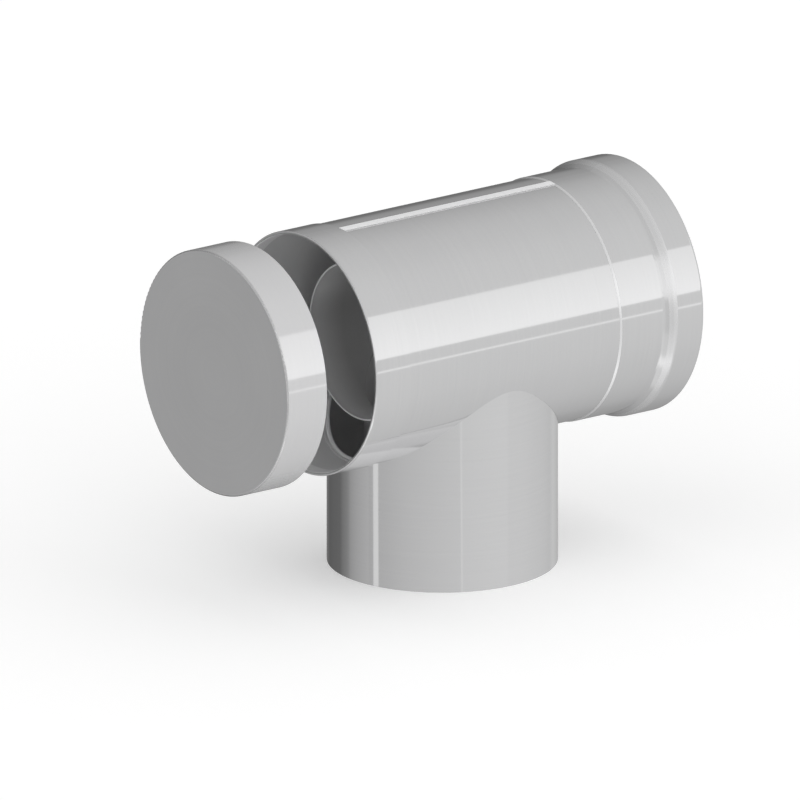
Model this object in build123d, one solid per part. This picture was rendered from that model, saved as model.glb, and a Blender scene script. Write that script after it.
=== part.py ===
from build123d import *
import math
import os

# An inspection elbow for a twin-wall flue: one pipe inside another, built as a tee.
# The branch points down, the socket is at +X, and the cap is off its collar at -X.
# The origin is the centre of the branch's lower rim. All sizes are in millimetres.

# Outer case
RUN_HEIGHT = 123.3        # axis of the run above the branch's lower rim
BODY_RADIUS = 61.7        # outside of the rolled body
SHEET = 0.6               # steel sheet of the outer case
SEAM_LEFT = 65.0          # branch axis to the edge of the end collar
SEAM_RIGHT = 66.0         # branch axis to the edge of the socket sleeve
BODY_LAP = 13.0           # length of body inside the collar, and inside the sleeve
JOINT_GAP = 0.03          # play between pieces that are joined for good
LAP_SEAM_WIDTH = 4.4      # doubled edge of the rolled sheet
LAP_SEAM_TURN = 3.0       # degrees from the top of the body towards -Y

# End collar, with the sheet folded back inside at its rim
COLLAR_LENGTH = 21.5      # seam to rim
HEM_DEPTH = 8.0           # how far the fold reaches in
HEM_GAP = 0.6             # air between the two layers of the fold

# Socket sleeve
SLEEVE_LENGTH = 26.0      # seam to the start of the step
BELL_FLARE = 5.0          # length of the step
BELL_RISE = 3.0           # radial height of the step
BELL_LENGTH = 17.8        # end of the step to the mouth
BELL_BEND = 3.0           # bend radius of the step
MOUTH_BEND = 1.5          # bend radius of the curled mouth
MOUTH_CURL = 1.6          # how far the mouth is curled in

# Branch of the outer case
BRANCH_STEP = 3.85        # the branch's radius is this much under the body's
LIP_WIDTH = 2.3           # flange of the branch on the inside of the body

# Inner pipe
PIPE_RADIUS = 40.3        # outside of the inner pipe
PIPE_WALL = 0.8
PIPE_LEFT = 53.0          # branch axis to the open end behind the collar
PIPE_STRAIGHT = 67.0      # branch axis to the start of the socket's step
PIPE_FLARE = 3.0          # length of the socket's step
PIPE_PLAY = 0.2           # radial play of a pipe pushed into the socket
PIPE_BORE = 8.0           # straight bore behind the seal's groove
GROOVE_WIDTH = 9.0
GROOVE_SLOPE = 1.5        # length of each sloped side of the groove
GROOVE_DEPTH = 2.5
PIPE_MOUTH = 4.0          # straight bore in front of the groove
PIPE_BEND = 1.0           # bend radius at the step, the groove and the bead
PIPE_BRANCH_STEP = 1.1    # the inner branch's radius is this much under the pipe's
BEAD_Z = 18.5             # lower rim to the middle of the inner branch's stop bead
BEAD_WIDTH = 5.0
BEAD_DEPTH = 1.2

# Spacers, each one bent strip
SPACER_STRIP = 0.6
SPACER_WIDTH = 14.0
SPACER_BEND = 1.5
SPACER_PLAY = 0.05        # play to the pipe inside and the case outside
SPACER_SETBACK = 1.0      # spacer to the step or bead beside it
SPACER_ARMS = 3
ARM_WIDTH = 16.0

# Push-on cap
CAP_SHEET = 0.4
CAP_LENGTH = 24.1
CAP_PLAY = 0.12           # radial play between the cap and the collar
CAP_BEND = 0.6            # bend radius between face and skirt
CAP_OFF = 31.1            # rim of the collar to the cap's open edge, as it is taken off

# Seals
SEAL_ROUND = 0.4          # rounding of the seals' edges
SEAL_PLAY = 0.1           # play of a pipe in a seal, which is drawn as the pipe squeezes it
SOCKET_SEAL_LENGTH = 14.0
SOCKET_SEAL_LAND = 8.0    # part of the seal that grips the outer pipe
SOCKET_SEAL_BACK = 1.6    # mouth's inner face to the seal
PIPE_SEAL_WIDTH = 5.6
CAP_SEAL_WIDTH = 6.0
CAP_SEAL_THICK = 3.0

# Places and radii that follow from the sizes above
CASE_BORE = BODY_RADIUS - SHEET
COLLAR_MID = BODY_RADIUS + JOINT_GAP + SHEET / 2
COLLAR_RADIUS = COLLAR_MID + SHEET / 2
RIM_X = -(SEAM_LEFT + COLLAR_LENGTH)
STEP_X = SEAM_RIGHT + SLEEVE_LENGTH
MOUTH_X = STEP_X + BELL_FLARE + BELL_LENGTH
BELL_MID = COLLAR_MID + BELL_RISE
BRANCH_RADIUS = BODY_RADIUS - BRANCH_STEP
PIPE_BRANCH_RADIUS = PIPE_RADIUS - PIPE_BRANCH_STEP
SOCKET_BORE = PIPE_RADIUS + PIPE_PLAY
GROOVE_X = PIPE_STRAIGHT + PIPE_FLARE + PIPE_BORE
PIPE_RIGHT = GROOVE_X + GROOVE_WIDTH + PIPE_MOUTH
RUN_SPACER_X = PIPE_STRAIGHT - SPACER_SETBACK - SPACER_WIDTH / 2
BRANCH_SPACER_Z = BEAD_Z + BEAD_WIDTH / 2 + SPACER_SETBACK + SPACER_WIDTH / 2
CAP_BORE = COLLAR_RADIUS + CAP_PLAY
CAP_EDGE_X = RIM_X - CAP_OFF
CAP_FACE_X = CAP_EDGE_X - CAP_LENGTH


def turned(profile, arc=360):
    """A profile of (x, radius) turned about the run's axis."""
    return Pos(0, 0, RUN_HEIGHT) * revolve(Plane.XZ * profile, Axis.X, arc)


def block(start, end, inner, outer):
    """A rectangle between two x places and two radii."""
    corner = Pos((start + end) / 2, (inner + outer) / 2)
    return corner * Rectangle(end - start, outer - inner)


def run_rod(radius):
    """A solid rod along the run that is longer than any hole cut with it."""
    return turned(block(-2 * BODY_RADIUS, 2 * BODY_RADIUS, 0, radius))


def riser(radius):
    """A solid rod on the branch's axis, from the lower rim to the run's axis."""
    return Cylinder(radius, RUN_HEIGHT, align=(Align.CENTER, Align.CENTER, Align.MIN))


def outer_body():
    """The rolled body with its lap seam, and the hole for the branch."""
    tube = turned(block(-SEAM_LEFT - BODY_LAP, SEAM_RIGHT + BODY_LAP, CASE_BORE, BODY_RADIUS))
    seam_profile = block(-SEAM_LEFT + JOINT_GAP, SEAM_RIGHT - JOINT_GAP,
                         BODY_RADIUS - SHEET / 2, BODY_RADIUS + SHEET)
    seam_arc = math.degrees(LAP_SEAM_WIDTH / BODY_RADIUS)
    seam = revolve(Plane.XZ * seam_profile, Axis.X, seam_arc)
    seam = Pos(0, 0, RUN_HEIGHT) * Rot(X=LAP_SEAM_TURN - seam_arc / 2) * seam
    return tube + seam - riser(BRANCH_RADIUS + JOINT_GAP)


def branch_case():
    """The branch, cut to the body's curve, with a narrow flange laid on the body's inside."""
    lip_outer = CASE_BORE - JOINT_GAP
    lip_inner = lip_outer - SHEET
    tube = riser(BRANCH_RADIUS) - riser(BRANCH_RADIUS - SHEET) - run_rod(lip_inner)
    # The flange keeps its width along the curved wall, so its outline is an oval from above
    side_angle = math.asin(BRANCH_RADIUS / lip_outer) + LIP_WIDTH / lip_outer
    oval = Ellipse(BRANCH_RADIUS + LIP_WIDTH, lip_outer * math.sin(side_angle))
    flange = (run_rod(lip_outer) - run_rod(lip_inner)) & extrude(oval, RUN_HEIGHT)
    return tube + (flange - riser(BRANCH_RADIUS - SHEET))


def end_collar():
    """The collar that carries the cap: sheet folded back inside to a thick smooth rim."""
    fold = (SHEET + HEM_GAP) / 2
    bend_x = RIM_X + SHEET / 2 + fold
    inner_mid = COLLAR_MID - 2 * fold
    path = Line((-SEAM_LEFT, COLLAR_MID), (bend_x, COLLAR_MID))
    path += ThreePointArc((bend_x, COLLAR_MID), (bend_x - fold, COLLAR_MID - fold), (bend_x, inner_mid))
    path += Line((bend_x, inner_mid), (RIM_X + HEM_DEPTH, inner_mid))
    return turned(trace(path, line_width=SHEET))


def socket_sleeve():
    """The sleeve over the body's other end, stepped out to a socket with a curled mouth."""
    lip_x = MOUTH_X - SHEET / 2
    path = FilletPolyline(
        (SEAM_RIGHT, COLLAR_MID),
        (STEP_X, COLLAR_MID),
        (STEP_X + BELL_FLARE, BELL_MID),
        (lip_x, BELL_MID),
        (lip_x, BELL_MID - MOUTH_CURL),
        radius=[BELL_BEND, BELL_BEND, MOUTH_BEND],
    )
    return turned(trace(path, line_width=SHEET))


def socket_seal():
    """A rubber ring between the socket's step and its mouth."""
    outer = BELL_MID - SHEET / 2 - JOINT_GAP
    land = COLLAR_RADIUS + SEAL_PLAY
    end = MOUTH_X - SHEET - SOCKET_SEAL_BACK
    start = end - SOCKET_SEAL_LENGTH
    slope = (SOCKET_SEAL_LENGTH - SOCKET_SEAL_LAND) / 2
    edge = (outer + land) / 2
    profile = Polygon(
        (start, outer), (start, edge), (start + slope, land),
        (end - slope, land), (end, edge), (end, outer), align=None,
    )
    return turned(fillet(profile.vertices(), SEAL_ROUND))


def flue_pipe():
    """The inner pipe: open at the left, formed to a grooved socket at the right."""
    pipe_mid = PIPE_RADIUS - PIPE_WALL / 2
    bore_mid = SOCKET_BORE + PIPE_WALL / 2
    groove_mid = bore_mid + GROOVE_DEPTH
    groove_end = GROOVE_X + GROOVE_WIDTH
    path = FilletPolyline(
        (-PIPE_LEFT, pipe_mid),
        (PIPE_STRAIGHT, pipe_mid),
        (PIPE_STRAIGHT + PIPE_FLARE, bore_mid),
        (GROOVE_X, bore_mid),
        (GROOVE_X + GROOVE_SLOPE, groove_mid),
        (groove_end - GROOVE_SLOPE, groove_mid),
        (groove_end, bore_mid),
        (PIPE_RIGHT, bore_mid),
        radius=PIPE_BEND,
    )
    return turned(trace(path, line_width=PIPE_WALL)) - riser(PIPE_BRANCH_RADIUS - PIPE_WALL)


def flue_branch():
    """The inner branch, with a bead that stops a socket, cut to the curve of the pipe above."""
    wall_mid = PIPE_BRANCH_RADIUS - PIPE_WALL / 2
    path = FilletPolyline(
        (wall_mid, 0),
        (wall_mid, BEAD_Z - BEAD_WIDTH / 2),
        (wall_mid + BEAD_DEPTH, BEAD_Z),
        (wall_mid, BEAD_Z + BEAD_WIDTH / 2),
        (wall_mid, RUN_HEIGHT),
        radius=PIPE_BEND,
    )
    tube = revolve(Plane.XZ * trace(path, line_width=PIPE_WALL), Axis.Z)
    return tube - run_rod(PIPE_RADIUS + JOINT_GAP)


def flue_seal():
    """The rubber ring in the inner socket's groove."""
    outer = SOCKET_BORE + GROOVE_DEPTH - JOINT_GAP
    middle = GROOVE_X + GROOVE_WIDTH / 2
    half = PIPE_SEAL_WIDTH / 2
    profile = block(middle - half, middle + half, SOCKET_BORE + SEAL_PLAY, outer)
    return turned(fillet(profile.vertices(), SEAL_ROUND))


def spacer(inner, outer):
    """One strip bent round a pipe, with arms that stand out to the case, lying in XY."""
    ring_mid = inner + SPACER_PLAY + SPACER_STRIP / 2
    arm_mid = outer - SPACER_PLAY - SPACER_STRIP / 2
    arm = Pos(arm_mid / 2) * Rectangle(arm_mid * 2, ARM_WIDTH)
    arm = arm & Circle(arm_mid)
    arm = arm - Pos(-arm_mid) * Rectangle(arm_mid * 2, ARM_WIDTH * 2)
    outline = Circle(ring_mid)
    for index in range(SPACER_ARMS):
        outline += Rot(Z=90 + index * 360 / SPACER_ARMS) * arm
    outline = fillet(outline.vertices(), SPACER_BEND)
    strip = offset(outline, SPACER_STRIP / 2) - offset(outline, -SPACER_STRIP / 2)
    return extrude(strip, SPACER_WIDTH / 2, both=True)


def run_spacer():
    """Holds the inner pipe on the run's axis, with one arm upright."""
    upright = Rot(Y=90) * Rot(Z=90) * spacer(PIPE_RADIUS, CASE_BORE)
    return Pos(RUN_SPACER_X, 0, RUN_HEIGHT) * upright


def branch_spacer():
    """Holds the inner branch on the branch's axis."""
    return Pos(0, 0, BRANCH_SPACER_Z) * spacer(PIPE_BRANCH_RADIUS, BRANCH_RADIUS - SHEET)


def end_cap():
    """A drawn lid: flat face, small bend, straight skirt that slides over the collar."""
    face_mid = CAP_FACE_X + CAP_SHEET / 2
    skirt_mid = CAP_BORE + CAP_SHEET / 2
    path = FilletPolyline((face_mid, 0), (face_mid, skirt_mid), (CAP_EDGE_X, skirt_mid), radius=CAP_BEND)
    return turned(trace(path, line_width=CAP_SHEET))


def cap_seal():
    """A flat rubber ring at the bottom of the cap, which the collar's rim presses on."""
    start = CAP_FACE_X + CAP_SHEET + JOINT_GAP
    outer = CAP_BORE - JOINT_GAP
    profile = block(start, start + CAP_SEAL_THICK, outer - CAP_SEAL_WIDTH, outer)
    return turned(fillet(profile.vertices(), SEAL_ROUND))


PIECES = {
    "outer_body": outer_body,
    "branch_case": branch_case,
    "end_collar": end_collar,
    "socket_sleeve": socket_sleeve,
    "socket_seal": socket_seal,
    "flue_pipe": flue_pipe,
    "flue_branch": flue_branch,
    "flue_seal": flue_seal,
    "run_spacer": run_spacer,
    "branch_spacer": branch_spacer,
    "end_cap": end_cap,
    "cap_seal": cap_seal,
}

os.makedirs("parts", exist_ok=True)
for name, make in PIECES.items():
    export_step(make(), f"parts/{name}.step")
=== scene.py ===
import math

import bmesh
import bpy
from mathutils import Matrix, Vector


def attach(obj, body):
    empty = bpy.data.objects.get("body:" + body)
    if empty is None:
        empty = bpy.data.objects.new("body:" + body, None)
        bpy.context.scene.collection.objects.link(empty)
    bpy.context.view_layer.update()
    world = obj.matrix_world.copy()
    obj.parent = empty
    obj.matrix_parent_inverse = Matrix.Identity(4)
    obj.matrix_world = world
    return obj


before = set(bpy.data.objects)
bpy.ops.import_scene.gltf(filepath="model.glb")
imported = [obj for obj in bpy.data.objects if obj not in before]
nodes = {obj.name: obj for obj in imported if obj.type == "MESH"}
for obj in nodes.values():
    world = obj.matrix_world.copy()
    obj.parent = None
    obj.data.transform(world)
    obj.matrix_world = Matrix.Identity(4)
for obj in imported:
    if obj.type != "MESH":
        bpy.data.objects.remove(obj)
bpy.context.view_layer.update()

RUN_HEIGHT = 0.1233          # axis of the run above the floor
VIEW_AZIMUTH = 36.26         # degrees that the photo's camera is turned from +Y towards +X
VIEW_ELEVATION = 17.57       # degrees that it looks down
VIEW_WIDTH = 0.4             # metres across the picture
VIEW_SHIFT_RIGHT = -0.021135  # picture's centre from the crossing of run and branch
VIEW_SHIFT_UP = -0.038625

CASE_TONE = 0.55             # sheet steel of the outer case
PIPE_TONE = 0.53             # sheet steel of the inner pipe
SPRING_TONE = 0.46           # rolled strip of the spacers
RUBBER_TONE = 0.035
DULL_INSIDE_PAINTED_LIGHTER = (0.75, 0.5, 0.2)  # inside of the case: rough, and paler than the outside sheet as painted light against the shade inside: tone, roughness, metallic
MILL_LINES = 1.2e-6          # metres that each kind of bump stands out
HAZE_WAVES = 1.5e-5
RUBBER_PITS = 2.0e-5

FLOOR_WIDTH = 24             # metres
FLOOR_TONE = 0.97
FLOOR_LIFT = 0.17            # added where the camera sees the floor, so that it is near white
CAMERA_BACK = 1.5            # metres from the picture's centre


# ---- Small helpers for node trees

def add(tree, kind, **settings):
    """A new node with its properties set."""
    node = tree.nodes.new(kind)
    for key, value in settings.items():
        setattr(node, key, value)
    return node


def feed(tree, socket, source):
    """Puts a number, a colour or another node's output into a socket."""
    if isinstance(source, bpy.types.NodeSocket):
        tree.links.new(source, socket)
    else:
        socket.default_value = source


def calc(tree, operation, first, second=0.0):
    node = add(tree, "ShaderNodeMath", operation=operation)
    feed(tree, node.inputs[0], first)
    feed(tree, node.inputs[1], second)
    return node.outputs[0]


def spread(tree, value, low, high, to_low, to_high, soft=False):
    """Maps a value from one range to another and keeps it inside."""
    node = add(tree, "ShaderNodeMapRange", interpolation_type="SMOOTHSTEP" if soft else "LINEAR")
    for index, source in enumerate((value, low, high, to_low, to_high)):
        feed(tree, node.inputs[index], source)
    return node.outputs[0]


def noise(tree, vector, scale, detail, rough=0.5):
    node = add(tree, "ShaderNodeTexNoise")
    feed(tree, node.inputs["Vector"], vector)
    feed(tree, node.inputs["Scale"], scale)
    feed(tree, node.inputs["Detail"], detail)
    feed(tree, node.inputs["Roughness"], rough)
    return node.outputs["Fac"]


def grey(value, blue=1.0):
    return (value, value, value * blue, 1)


def blend_colours(tree, factor, first, second):
    node = add(tree, "ShaderNodeMix", data_type="RGBA")
    feed(tree, node.inputs["Factor"], factor)
    feed(tree, node.inputs[6], first)
    feed(tree, node.inputs[7], second)
    return node.outputs[2]


def bump(tree, height, distance, below=None):
    node = add(tree, "ShaderNodeBump")
    feed(tree, node.inputs["Strength"], 1.0)
    feed(tree, node.inputs["Distance"], distance)
    feed(tree, node.inputs["Height"], height)
    if below is not None:
        feed(tree, node.inputs["Normal"], below)
    return node.outputs["Normal"]


def new_material(name):
    material = bpy.data.materials.new(name)
    material.use_nodes = True
    tree = material.node_tree
    return material, tree, tree.nodes["Principled BSDF"]


# ---- Finishes

def from_axis(tree, place, axis):
    """Distance from the axis of the run or of the branch, and the place along it."""
    parts = add(tree, "ShaderNodeSeparateXYZ")
    feed(tree, parts.inputs[0], place)
    x, y, z = parts.outputs
    along = x if axis == "run" else z
    first = calc(tree, "SUBTRACT", z, RUN_HEIGHT) if axis == "run" else x
    squares = calc(tree, "ADD", calc(tree, "POWER", first, 2.0), calc(tree, "POWER", y, 2.0))
    return calc(tree, "SQRT", squares), along


def between(tree, value, low, high, soft=0.05):
    """One inside the range, given in millimetres, with edges that are this soft."""
    soft /= 1000
    rise = spread(tree, value, low / 1000 - soft, low / 1000 + soft, 0, 1)
    fall = spread(tree, value, high / 1000 - soft, high / 1000 + soft, 1, 0)
    return calc(tree, "MULTIPLY", rise, fall)


def sheet_steel(name, tone, finish, across, centre=(0, 0, RUN_HEIGHT), patches=(), rings=False, metal=1.0):
    """Bright sheet steel with faint mill lines, handling haze and slight waviness. A patch is a part of
    the piece with another tone and finish, several of them painted light or shade: (axis, distance from it,
    place along it, tone, roughness, metallic), and how far it fades out along the axis if its ends are not
    sharp."""
    material, tree, shader = new_material(name)
    place = add(tree, "ShaderNodeTexCoord").outputs["Object"]
    if rings:
        radius, along = from_axis(tree, place, "run")
        grain = add(tree, "ShaderNodeCombineXYZ")
        feed(tree, grain.inputs["X"], calc(tree, "MULTIPLY", radius, across[1]))
        feed(tree, grain.inputs["Y"], calc(tree, "MULTIPLY", along, across[0]))
        lines = noise(tree, grain.outputs[0], 1.0, 3, 0.6)
    else:
        grain = add(tree, "ShaderNodeMapping")
        feed(tree, grain.inputs["Vector"], place)
        feed(tree, grain.inputs["Location"], tuple(-c for c in centre))
        feed(tree, grain.inputs["Scale"], across)
        lines = noise(tree, grain.outputs["Vector"], 1.0, 4, 0.6)
    haze = noise(tree, place, 22.0, 3, 0.55)
    grit = noise(tree, place, 900.0, 2, 0.5)
    marks = calc(tree, "ADD", calc(tree, "MULTIPLY", lines, 0.6), calc(tree, "MULTIPLY", haze, 0.4))
    worn = spread(tree, marks, 0.3, 0.7, 0, 1)
    speck = spread(tree, grit, 0.62, 0.75, 0.0, 0.05)

    def colour_of(own_tone):
        return blend_colours(tree, worn, grey(own_tone * 0.977, 1.007), grey(own_tone * 1.015, 1.005))

    colour = colour_of(tone)
    gloss = spread(tree, marks, 0.32, 0.68, finish - 0.02, finish + 0.035)
    for axis, radii, reach, own_tone, own_finish, own_metal, *fade in patches:
        radius, along = from_axis(tree, place, axis)
        inside = calc(tree, "MULTIPLY", between(tree, radius, *radii), between(tree, along, *reach, *fade))
        colour = blend_colours(tree, inside, colour, colour_of(own_tone))
        own_gloss = spread(tree, marks, 0.32, 0.68, own_finish - 0.03, own_finish + 0.05)
        gloss = spread(tree, inside, 0, 1, gloss, own_gloss)
        # Where all is metal, the value stays on the shader's own socket
        if (metal, own_metal) != (1.0, 1.0):
            metal = spread(tree, inside, 0, 1, metal, own_metal)
    feed(tree, shader.inputs["Base Color"], colour)
    feed(tree, shader.inputs["Roughness"], calc(tree, "ADD", gloss, speck))
    feed(tree, shader.inputs["Metallic"], metal)
    feed(tree, shader.inputs["Normal"], bump(tree, lines, MILL_LINES, bump(tree, haze, HAZE_WAVES)))
    return material


def moulded_rubber(name):
    """Black seal rubber: matt, finely pitted, with a dusting of pale talc."""
    material, tree, shader = new_material(name)
    place = add(tree, "ShaderNodeTexCoord").outputs["Object"]
    pits = noise(tree, place, 1400.0, 2, 0.5)
    talc = noise(tree, place, 60.0, 4, 0.65)
    dusting = spread(tree, talc, 0.45, 0.8, 0, 1)
    feed(tree, shader.inputs["Base Color"],
         blend_colours(tree, dusting, grey(RUBBER_TONE, 1.05), grey(RUBBER_TONE * 2.6)))
    feed(tree, shader.inputs["Roughness"], spread(tree, talc, 0.3, 0.7, 0.48, 0.7))
    feed(tree, shader.inputs["Normal"], bump(tree, pits, RUBBER_PITS))
    return material


ALONG_RUN = (800.0, 14.0, 14.0)
ALONG_BRANCH = (14.0, 14.0, 800.0)
FULL = (-200.0, 200.0)       # the whole length of a piece

FINISHES = {
    "outer_body": sheet_steel("body sheet", CASE_TONE, 0.06, ALONG_RUN, patches=(
        # inside of the body: painted lighter against its shade
        ("run", (0, 61.4), FULL, *DULL_INSIDE_PAINTED_LIGHTER),
        # the raised lap seam: near white and rough, a painted highlight along the seam
        ("run", (61.9, 63), FULL, 0.94, 0.65, 1.0))),
    "branch_case": sheet_steel("branch sheet", CASE_TONE, 0.06, ALONG_BRANCH, (0, 0, 0), (
        ("branch", (0, 57.5), FULL, 0.6, 0.45, 0.3),
        # the flange round the hole, inside the body: painted lighter against its shade
        ("run", (0, 61.09), FULL, *DULL_INSIDE_PAINTED_LIGHTER))),
    "end_collar": sheet_steel("collar sheet", CASE_TONE * 1.01, 0.055, ALONG_RUN, patches=(
        # inside of the collar: painted lighter against its shade
        ("run", (0, 61.5), FULL, *DULL_INSIDE_PAINTED_LIGHTER),
        # the hem's inner layer inside the mouth: near white, painted light against the shade in the mouth
        ("run", (0, 61.5), (-90, -78.6), 0.93, 0.5, 0.1),
        ("run", (0, 70), (-90, -86.2), 0.6, 0.5, 1.0))),
    "socket_sleeve": sheet_steel("socket sheet", CASE_TONE * 1.01, 0.055, ALONG_RUN, patches=(
        ("run", (60, 70), (91.2, 94.2), CASE_TONE, 0.14, 1.0),
        # the bell's step: paler and rougher, a painted highlight band along the step
        ("run", (60, 70), (94.2, 98.4), CASE_TONE * 1.1, 0.25, 1.0))),
    "flue_pipe": sheet_steel("flue sheet", PIPE_TONE, 0.12, ALONG_RUN, patches=(
        ("run", (0, 39.9), FULL, 0.42, 0.4, 0.4),
        # a paler band inside the mouth that fades 8 mm inward: painted light, brighter near the opening
        ("run", (0, 39.9), (-80, -41), 0.65, 0.4, 0.3, 8.0),
        # the pipe's rim: pale, a painted highlight on the rim
        ("run", (0, 45), (-60, -52.8), 0.85, 0.5, 0.6))),
    "flue_branch": sheet_steel("flue branch sheet", PIPE_TONE, 0.12, ALONG_BRANCH, (0, 0, 0), (
        ("branch", (0, 38.8), FULL, 0.5, 0.45, 0.2),
        ("branch", (38.8, 60), FULL, 0.55, 0.35, 0.5))),
    "run_spacer": sheet_steel("spring strip of the run", SPRING_TONE, 0.2, (60.0, 500.0, 500.0)),
    "branch_spacer": sheet_steel("spring strip of the branch", SPRING_TONE, 0.2, (500.0, 500.0, 60.0)),
    # The lid's sheet is paler than the body's, and its face, skirt and bend get tones of their own as painted
    # light and shade.
    "end_cap": sheet_steel("lid sheet", CASE_TONE * 1.09, 0.07, (700.0, 700.0), rings=True, patches=(
        # the lid's face: paler than the rest of the lid, painted light
        ("run", (0, 62.2), (-143, -141.5), 0.70, 0.3, 1.0),
        # the lid's skirt: partly non-metal, so its mirrored band is dimmer and the rest lighter: painted
        # light and shade
        ("run", (62.2, 64), (-141.0, -110), 0.61, 0.08, 0.67),
        # the lid's bend: darker, painted shade over the highlight on that edge
        ("run", (62.2, 64), (-143, -141.0), 0.5, 0.25, 1.0))),
    "socket_seal": moulded_rubber("socket seal rubber"),
    "flue_seal": moulded_rubber("flue seal rubber"),
    "cap_seal": moulded_rubber("lid seal rubber"),
}

for name, material in FINISHES.items():
    mesh = nodes[name].data
    mesh.materials.clear()
    mesh.materials.append(material)


# ---- Small pieces that belong to the looks only

def bead(name, path, section, material, body):
    """A closed bead along a loop of (point, way up off the sheet), its section given as (aside, up) in mm."""
    verts, faces = [], []
    for index, (point, up) in enumerate(path):
        ahead = path[(index + 1) % len(path)][0] - path[index - 1][0]
        aside = ahead.cross(up).normalized()
        verts.extend(point + (aside * across + up * height) / 1000 for across, height in section)
    count = len(section)
    for step in range(len(path)):
        for index in range(count):
            a, b = step * count + index, step * count + (index + 1) % count
            faces.append((a, b, (b + count) % len(verts), (a + count) % len(verts)))
    mesh = bpy.data.meshes.new(name)
    mesh.from_pydata(verts, [], faces)
    shape = bmesh.new()
    shape.from_mesh(mesh)
    bmesh.ops.recalc_face_normals(shape, faces=shape.faces)
    shape.to_mesh(mesh)
    shape.free()
    mesh.materials.append(material)
    piece = bpy.data.objects.new(name, mesh)
    bpy.context.scene.collection.objects.link(piece)
    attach(piece, body)
    return piece


def round_the_run(place, radius, steps=256):
    """Loop round the run at a place along it, in mm."""
    path = []
    for step in range(steps):
        up = Vector((0, math.cos(math.tau * step / steps), math.sin(math.tau * step / steps)))
        path.append((Vector((place / 1000, 0, RUN_HEIGHT)) + up * radius / 1000, up))
    return path


def round_the_branch(distance, radius, steps=256):
    """Loop on the inside of the body, at this distance from the branch's axis, in mm."""
    path = []
    for step in range(steps):
        x = distance * math.cos(math.tau * step / steps)
        y = distance * math.sin(math.tau * step / steps)
        drop = math.sqrt(radius ** 2 - y ** 2)
        path.append((Vector((x, y, RUN_HEIGHT * 1000 - drop)) / 1000, Vector((0, -y, drop)) / radius))
    return path


# Fillet ring at the sleeve's end, paler than the sheet: a painted highlight along that seam.
pale_seam_ring = sheet_steel("pale_seam_ring", 0.70, 0.3, (60.0, 60.0, 60.0))
# Bead round the hole's edge inside the body, its near-white colour a painted highlight on that edge.
pale_hole_bead = sheet_steel("pale bead round the hole", 0.96, 0.22, (60.0, 60.0, 60.0), metal=0.0)
PALE_RING_RAMP = [(0.55, 0), (0, 0.35), (-0.58, 0.61), (-0.58, 0)]
BEAD_ASIDE, BEAD_UP, BEAD_SIDES = 1.15, 0.9, 16    # half width and half height of the bead, in mm
BEAD_ROUND = []
for side in range(BEAD_SIDES):
    turn = math.tau * side / BEAD_SIDES
    BEAD_ROUND.append((BEAD_ASIDE * math.cos(turn), BEAD_UP * math.sin(turn)))
# pale ring at the sleeve's seam, a painted highlight
bead("pale_ring_of_the_sleeve", round_the_run(65.4, 61.71), PALE_RING_RAMP, pale_seam_ring, "elbow")
# pale bead round the hole's edge, a painted highlight
bead("pale_bead_of_the_branch", round_the_branch(57.35, 60.5), BEAD_ROUND, pale_hole_bead, "elbow")


# ---- Studio: soft boxes round a pale room with a dark side, and a pale floor
# Room and boxes were fitted to what the photo's metal mirrors, for steel of CASE_TONE. The three
# boxes that start near -58 are mirrored under the body's left, where the sheet faces the branch.

DARK_SIDE = (79.0, -15.0)    # azimuth and elevation of the room's dark side
ROOM = (                     # degrees from the dark side, brightness
    (0, 0.12), (15, 0.19), (25, 0.23), (35, 0.37), (45, 0.48), (55, 0.61), (65, 0.70), (80, 0.80),
    (95, 0.857), (115, 0.925), (180, 1.05),
)
SIDE_FILL = 0.104            # the room is this much brighter towards +X
SOFT_BOXES = (               # azimuth from, to; elevation from, to; soft edge; brightness added low, high
    (-135.0, -30.0, 0.2, 32.8, 0.4, 0.47, 0.31),
    (160.7, 166.9, -28.0, 20.0, 0.4, 0.40, 0.40),
    (127.0, 155.0, -50.0, 0.0, 1.0, 0.04, 0.04),
    (108.0, 125.0, -50.0, 0.0, 4.0, -0.04, -0.04),
    (-75.0, -40.0, -10.1, -8.7, 0.3, 0.33, 0.33),
    (-107.4, -105.8, -28.0, 0.0, 0.3, 0.14, 0.14),
    (-105.8, -57.0, -28.0, 0.0, 0.4, 0.03, 0.03),
    (-190.0, -60.0, -80.0, -28.0, 3.0, 0.28, 0.12),
    (155.0, 190.0, -80.0, -28.0, 3.0, 0.28, 0.12),
    (-190.0, -129.0, -58.0, -28.0, 4.0, 0.75, 0.08),
    (133.0, 190.0, -58.0, -28.0, 3.0, 0.75, 0.08),
    (-129.0, -36.0, -58.5, -49.5, 2.0, 0.40, 0.34),
    (14.0, 50.0, -28.0, -14.0, 7.0, 0.12, 0.12),
    (45.0, 75.0, -13.0, 3.0, 4.0, -0.12, -0.08),
)


def toward(azimuth, elevation):
    a, e = math.radians(azimuth), math.radians(elevation)
    return (math.cos(a) * math.cos(e), math.sin(a) * math.cos(e), math.sin(e))


def soft_sides(tree, angle, low, high, edge):
    """The two soft sides of a box, each one on its inner side and zero outside."""
    return (spread(tree, angle, low - edge, low + edge, 0, 1, soft=True),
            spread(tree, angle, high - edge, high + edge, 1, 0, soft=True))


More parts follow.
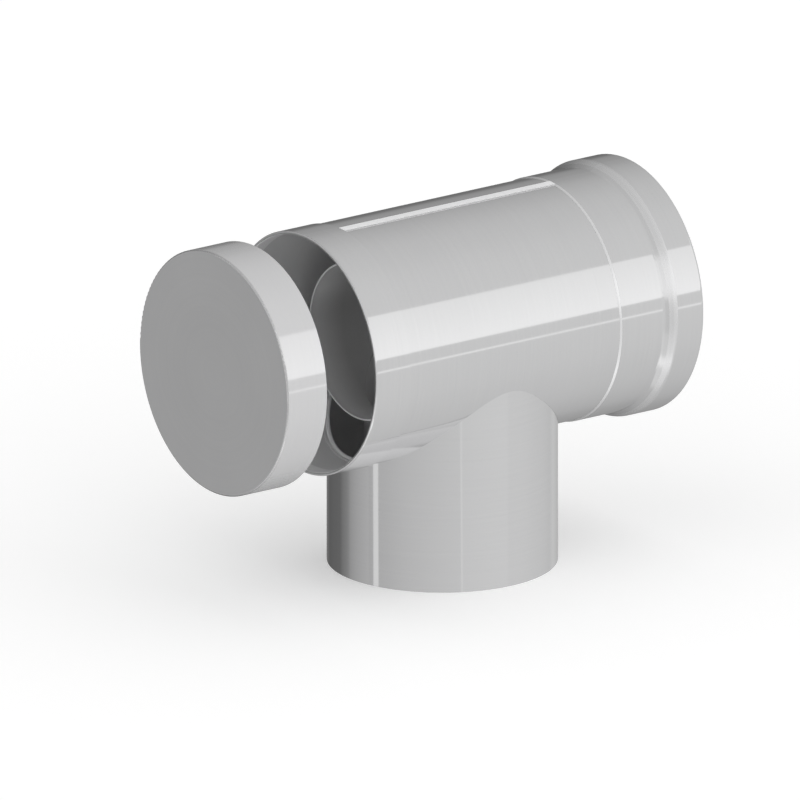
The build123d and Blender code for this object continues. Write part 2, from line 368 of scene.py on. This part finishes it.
def build_room():
    world = bpy.data.worlds.new("studio")
    world.use_nodes = True
    tree = world.node_tree
    direction = add(tree, "ShaderNodeTexCoord").outputs["Generated"]
    parts = add(tree, "ShaderNodeSeparateXYZ")
    feed(tree, parts.inputs[0], direction)
    x, y, z = parts.outputs
    azimuth = calc(tree, "MULTIPLY", calc(tree, "ARCTAN2", y, x), math.degrees(1))
    elevation = calc(tree, "MULTIPLY", calc(tree, "ARCSINE", z), math.degrees(1))
    facing = add(tree, "ShaderNodeVectorMath", operation="DOT_PRODUCT")
    feed(tree, facing.inputs[0], direction)
    feed(tree, facing.inputs[1], toward(*DARK_SIDE))
    away = calc(tree, "MULTIPLY", calc(tree, "ARCCOSINE", facing.outputs["Value"]), math.degrees(1))
    wall = add(tree, "ShaderNodeFloatCurve")
    curve = wall.mapping.curves[0]
    for index, (angle, level) in enumerate(ROOM):
        if index < 2:
            curve.points[index].location = (angle / 180, level)
        else:
            curve.points.new(angle / 180, level)
    wall.mapping.update()
    feed(tree, wall.inputs["Value"], calc(tree, "DIVIDE", away, 180.0))
    level = calc(tree, "ADD", wall.outputs[0], calc(tree, "MULTIPLY", x, SIDE_FILL))
    for west, east, low, high, edge, low_light, high_light in SOFT_BOXES:
        inside, *others = (*soft_sides(tree, elevation, low, high, edge),
                           *soft_sides(tree, azimuth, west, east, edge))
        for other in others:
            inside = calc(tree, "MULTIPLY", inside, other)
        light = spread(tree, elevation, low, high, low_light, high_light)
        level = calc(tree, "ADD", level, calc(tree, "MULTIPLY", inside, light))
    background = tree.nodes["Background"]
    feed(tree, background.inputs["Color"], (1, 1, 1, 1))
    feed(tree, background.inputs["Strength"], level)
    bpy.context.scene.world = world


def build_floor():
    bpy.ops.mesh.primitive_plane_add(size=FLOOR_WIDTH)
    floor = bpy.context.object
    floor.name = "floor"
    material, tree, shader = new_material("floor paint")
    feed(tree, shader.inputs["Base Color"], grey(FLOOR_TONE))
    feed(tree, shader.inputs["Roughness"], 0.9)
    feed(tree, shader.inputs["Specular IOR Level"], 0.0)
    feed(tree, shader.inputs["Emission Color"], (1, 1, 1, 1))
    rays = add(tree, "ShaderNodeLightPath").outputs
    through = calc(tree, "ADD", rays["Is Glossy Ray"], rays["Is Transmission Ray"])
    seen = calc(tree, "ADD", rays["Is Camera Ray"], through)
    feed(tree, shader.inputs["Emission Strength"], calc(tree, "MULTIPLY", seen, FLOOR_LIFT))
    floor.data.materials.append(material)
    # The metal mirrors the room below the horizon and never the floor, so no glossy ray gets the lift
    floor.visible_glossy = False


def place_camera():
    turn, tip = math.radians(VIEW_AZIMUTH), math.radians(VIEW_ELEVATION)
    ahead = Vector((math.sin(turn) * math.cos(tip), math.cos(turn) * math.cos(tip), -math.sin(tip)))
    right = Vector((math.cos(turn), -math.sin(turn), 0))
    up = right.cross(ahead)
    centre = Vector((0, 0, RUN_HEIGHT)) + right * VIEW_SHIFT_RIGHT + up * VIEW_SHIFT_UP
    lens = bpy.data.cameras.new("camera")
    lens.type = "ORTHO"
    lens.ortho_scale = VIEW_WIDTH
    camera = bpy.data.objects.new("camera", lens)
    bpy.context.scene.collection.objects.link(camera)
    turned = Matrix((right, up, -ahead)).transposed().to_4x4()
    camera.matrix_world = Matrix.Translation(centre - ahead * CAMERA_BACK) @ turned
    bpy.context.scene.camera = camera


build_room()
build_floor()
place_camera()
bpy.context.scene.view_settings.view_transform = "Standard"
